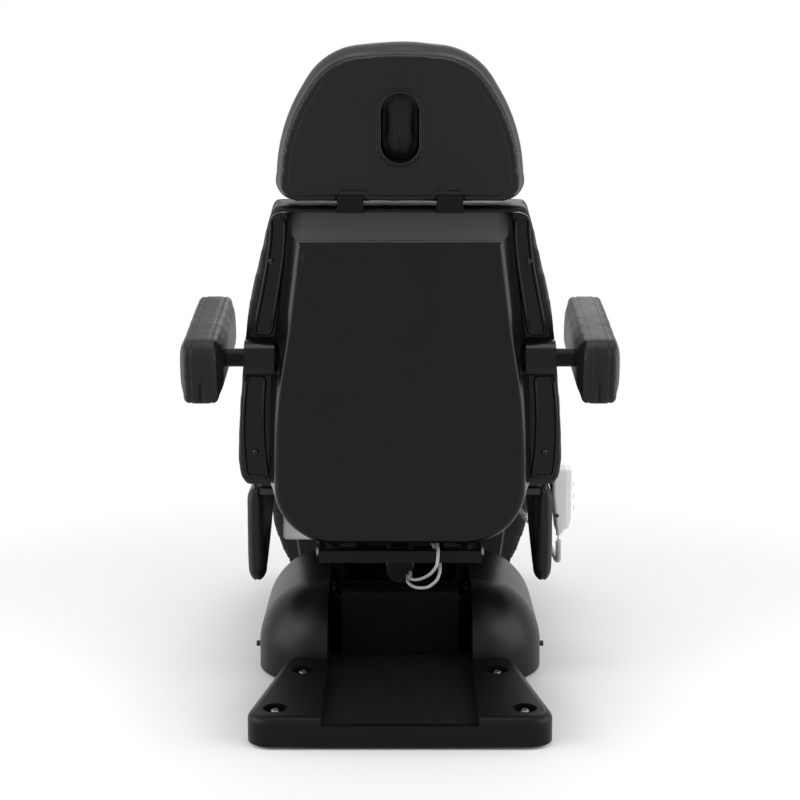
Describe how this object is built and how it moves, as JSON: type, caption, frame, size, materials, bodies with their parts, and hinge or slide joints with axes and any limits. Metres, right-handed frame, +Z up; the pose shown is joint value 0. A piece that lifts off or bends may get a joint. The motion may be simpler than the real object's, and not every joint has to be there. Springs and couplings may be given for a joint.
{
  "type": "beauty chair",
  "caption": "Upholstered electric beauty chair with reclining back, leg rest, turning armrests, sliding headrest with face hole, lift linkage in a domed base and a corded handset.",
  "frame": {"origin": "middle of the chair's plan, on the floor", "axes": "+X to the sitter's right, +Y the way the sitter faces, +Z up; the picture looks along +Y"},
  "size_m": [0.7924, 1.1328, 1.3013],
  "materials": {
    "black_leatherette": "fine grain, satin",
    "moulded_black_plastic": "fine texture, satin",
    "black_painted_steel": "powder coat, satin",
    "zinc_plated_steel": "bright zinc",
    "bronze_bush": "plain",
    "pale_grey_plastic": "smooth",
    "white_plastic": "smooth",
    "grey_key_plastic": "smooth",
    "pale_grey_cord": "smooth",
    "black_rubber": "matt",
    "birch_plywood": "raw",
    "black_screw": "black oxide"
  },
  "bodies": {
    "base": {"base_frame": "black_painted_steel", "base_rear_cover": "moulded_black_plastic", "base_dome_cover": "moulded_black_plastic", "levelling_feet": "black_rubber", "cover_bolts": "black_screw", "mechanism_guard": "black_painted_steel", "guard_bolts": "zinc_plated_steel", "lift_base_pins": "zinc_plated_steel"},
    "lift_arm": {"lift_arm": "black_painted_steel", "lift_arm_bushes": "bronze_bush"},
    "lift_links": {"lift_links": "black_painted_steel", "lift_link_bushes": "bronze_bush"},
    "lift_actuator": {"lift_actuator_housing": "black_painted_steel"},
    "lift_rod": {"lift_actuator_rod": "zinc_plated_steel"},
    "seat": {"lift_carriage": "black_painted_steel", "carriage_pins": "zinc_plated_steel", "seat_frame": "black_painted_steel", "seat_board": "birch_plywood", "seat_cushion": "black_leatherette", "wing_right": "black_leatherette", "wing_left": "black_leatherette", "wing_straps": "black_painted_steel", "control_box": "pale_grey_plastic", "cord_sockets": "black_rubber", "hinge_pins": "zinc_plated_steel", "actuator_anchor_pins": "zinc_plated_steel", "handset_holder": "black_painted_steel", "handset_cord": "pale_grey_cord", "motor_cables": "pale_grey_cord"},
    "leg_actuator": {"leg_actuator_housing": "black_painted_steel"},
    "leg_rod": {"leg_actuator_rod": "zinc_plated_steel"},
    "back_actuator": {"back_actuator_housing": "black_painted_steel"},
    "back_rod": {"back_actuator_rod": "zinc_plated_steel"},
    "back": {"back_frame": "black_painted_steel", "back_shell": "moulded_black_plastic", "back_board": "birch_plywood", "back_cushion": "black_leatherette", "shell_screws": "black_screw", "armrest_sleeves": "black_painted_steel"},
    "armrest_right": {"armrest_rod_right": "zinc_plated_steel", "armrest_pad_right": "black_leatherette"},
    "armrest_left": {"armrest_rod_left": "zinc_plated_steel", "armrest_pad_left": "black_leatherette"},
    "headrest": {"headrest_board": "black_leatherette", "headrest_pad": "black_leatherette", "headrest_posts": "zinc_plated_steel"},
    "face_plug": {"face_plug": "black_leatherette"},
    "leg_rest": {"leg_frame": "black_painted_steel", "leg_shell": "moulded_black_plastic", "leg_board": "birch_plywood", "leg_cushion": "black_leatherette"},
    "handset": {"handset_back": "pale_grey_plastic", "handset_front": "white_plastic", "cord_strain_relief": "pale_grey_cord"},
    "button_1": {"handset_button_1": "grey_key_plastic"},
    "button_2": {"handset_button_2": "grey_key_plastic"},
    "button_3": {"handset_button_3": "grey_key_plastic"},
    "button_4": {"handset_button_4": "grey_key_plastic"},
    "button_5": {"handset_button_5": "grey_key_plastic"},
    "button_6": {"handset_button_6": "grey_key_plastic"}
  },
  "joints": [
    {"name": "lift_raise", "type": "hinge", "parent": "base", "child": "lift_arm", "pos_m": [0, 0.045, 0.13], "axis": [-1, 0, 0], "range_deg": [0, 43]},
    {"name": "lift_link_swing", "type": "hinge", "parent": "base", "child": "lift_links", "pos_m": [0, 0.105, 0.19], "axis": [-1, 0, 0], "range_deg": [0, 43.5]},
    {"name": "carriage_level", "type": "hinge", "parent": "lift_arm", "child": "seat", "pos_m": [0, -0.338, 0.325], "axis": [-1, 0, 0], "range_deg": [-43.5, 0]},
    {"name": "back_recline", "type": "hinge", "parent": "seat", "child": "back", "pos_m": [0, -0.38, 0.44], "axis": [1, 0, 0], "range_deg": [0, 78]},
    {"name": "leg_raise", "type": "hinge", "parent": "seat", "child": "leg_rest", "pos_m": [0, 0.195, 0.415], "axis": [1, 0, 0], "range_deg": [0, 52]},
    {"name": "armrest_right_turn", "type": "hinge", "parent": "back", "child": "armrest_right", "pos_m": [0, -0.44854, 0.72396], "axis": [1, 0, 0], "range_deg": [0, 90]},
    {"name": "armrest_left_turn", "type": "hinge", "parent": "back", "child": "armrest_left", "pos_m": [0, -0.44854, 0.72396], "axis": [1, 0, 0], "range_deg": [0, 90]},
    {"name": "headrest_slide", "type": "slide", "parent": "back", "child": "headrest", "axis": [0, -0.2079, 0.9781], "range_m": [0, 0.08]},
    {"name": "face_plug_pull", "type": "slide", "parent": "headrest", "child": "face_plug", "axis": [0, 0.9781, 0.2079], "range_m": [0, 0.1]},
    {"name": "lift_actuator_swing", "type": "hinge", "parent": "base", "child": "lift_actuator", "pos_m": [0, 0.237, 0.076], "axis": [-1, 0, 0], "range_deg": [0, 4.47]},
    {"name": "lift_rod_slide", "type": "slide", "parent": "lift_actuator", "child": "lift_rod", "axis": [0, -0.9999, -0.0103], "range_m": [0, 0.03886]},
    {"name": "leg_actuator_swing", "type": "hinge", "parent": "seat", "child": "leg_actuator", "pos_m": [0, -0.268, 0.302], "axis": [1, 0, 0], "range_deg": [0, 0.78365]},
    {"name": "leg_rod_slide", "type": "slide", "parent": "leg_actuator", "child": "leg_rod", "axis": [0, 0.9908, 0.1353], "range_m": [0, 0.04643]},
    {"name": "back_actuator_swing", "type": "hinge", "parent": "seat", "child": "back_actuator", "pos_m": [0, -0.112, 0.34], "axis": [1, 0, 0], "range_deg": [0, 1.97]},
    {"name": "back_rod_slide", "type": "slide", "parent": "back_actuator", "child": "back_rod", "axis": [0, -0.9684, 0.2492], "range_m": [-0.05767, 0]},
    {"name": "handset_lift", "type": "slide", "parent": "seat", "child": "handset", "axis": [0, 0, 1], "range_m": [0, 0.012], "deforming": ["handset_cord"]},
    {"name": "button_1_press", "type": "slide", "parent": "handset", "child": "button_1", "axis": [-1, 0, 0], "range_m": [0, 0.0012], "stiffness_N_per_m": 800},
    {"name": "button_2_press", "type": "slide", "parent": "handset", "child": "button_2", "axis": [-1, 0, 0], "range_m": [0, 0.0012], "stiffness_N_per_m": 800},
    {"name": "button_3_press", "type": "slide", "parent": "handset", "child": "button_3", "axis": [-1, 0, 0], "range_m": [0, 0.0012], "stiffness_N_per_m": 800},
    {"name": "button_4_press", "type": "slide", "parent": "handset", "child": "button_4", "axis": [-1, 0, 0], "range_m": [0, 0.0012], "stiffness_N_per_m": 800},
    {"name": "button_5_press", "type": "slide", "parent": "handset", "child": "button_5", "axis": [-1, 0, 0], "range_m": [0, 0.0012], "stiffness_N_per_m": 800},
    {"name": "button_6_press", "type": "slide", "parent": "handset", "child": "button_6", "axis": [-1, 0, 0], "range_m": [0, 0.0012], "stiffness_N_per_m": 800}
  ],
  "couplings": [
    {"joint": "lift_link_swing", "follows": "lift_raise", "ratio": 1},
    {"joint": "carriage_level", "follows": "lift_raise", "ratio": -1},
    {"joint": "lift_actuator_swing", "follows": "lift_raise", "ratio": 0.10184},
    {"joint": "lift_rod_slide", "follows": "lift_raise", "m_per_rad": 0.050768},
    {"joint": "leg_actuator_swing", "follows": "leg_raise", "ratio": 0.01477},
    {"joint": "leg_rod_slide", "follows": "leg_raise", "m_per_rad": 0.050161},
    {"joint": "back_actuator_swing", "follows": "back_recline", "ratio": 0.02476},
    {"joint": "back_rod_slide", "follows": "back_recline", "m_per_rad": -0.041532}
  ]
}
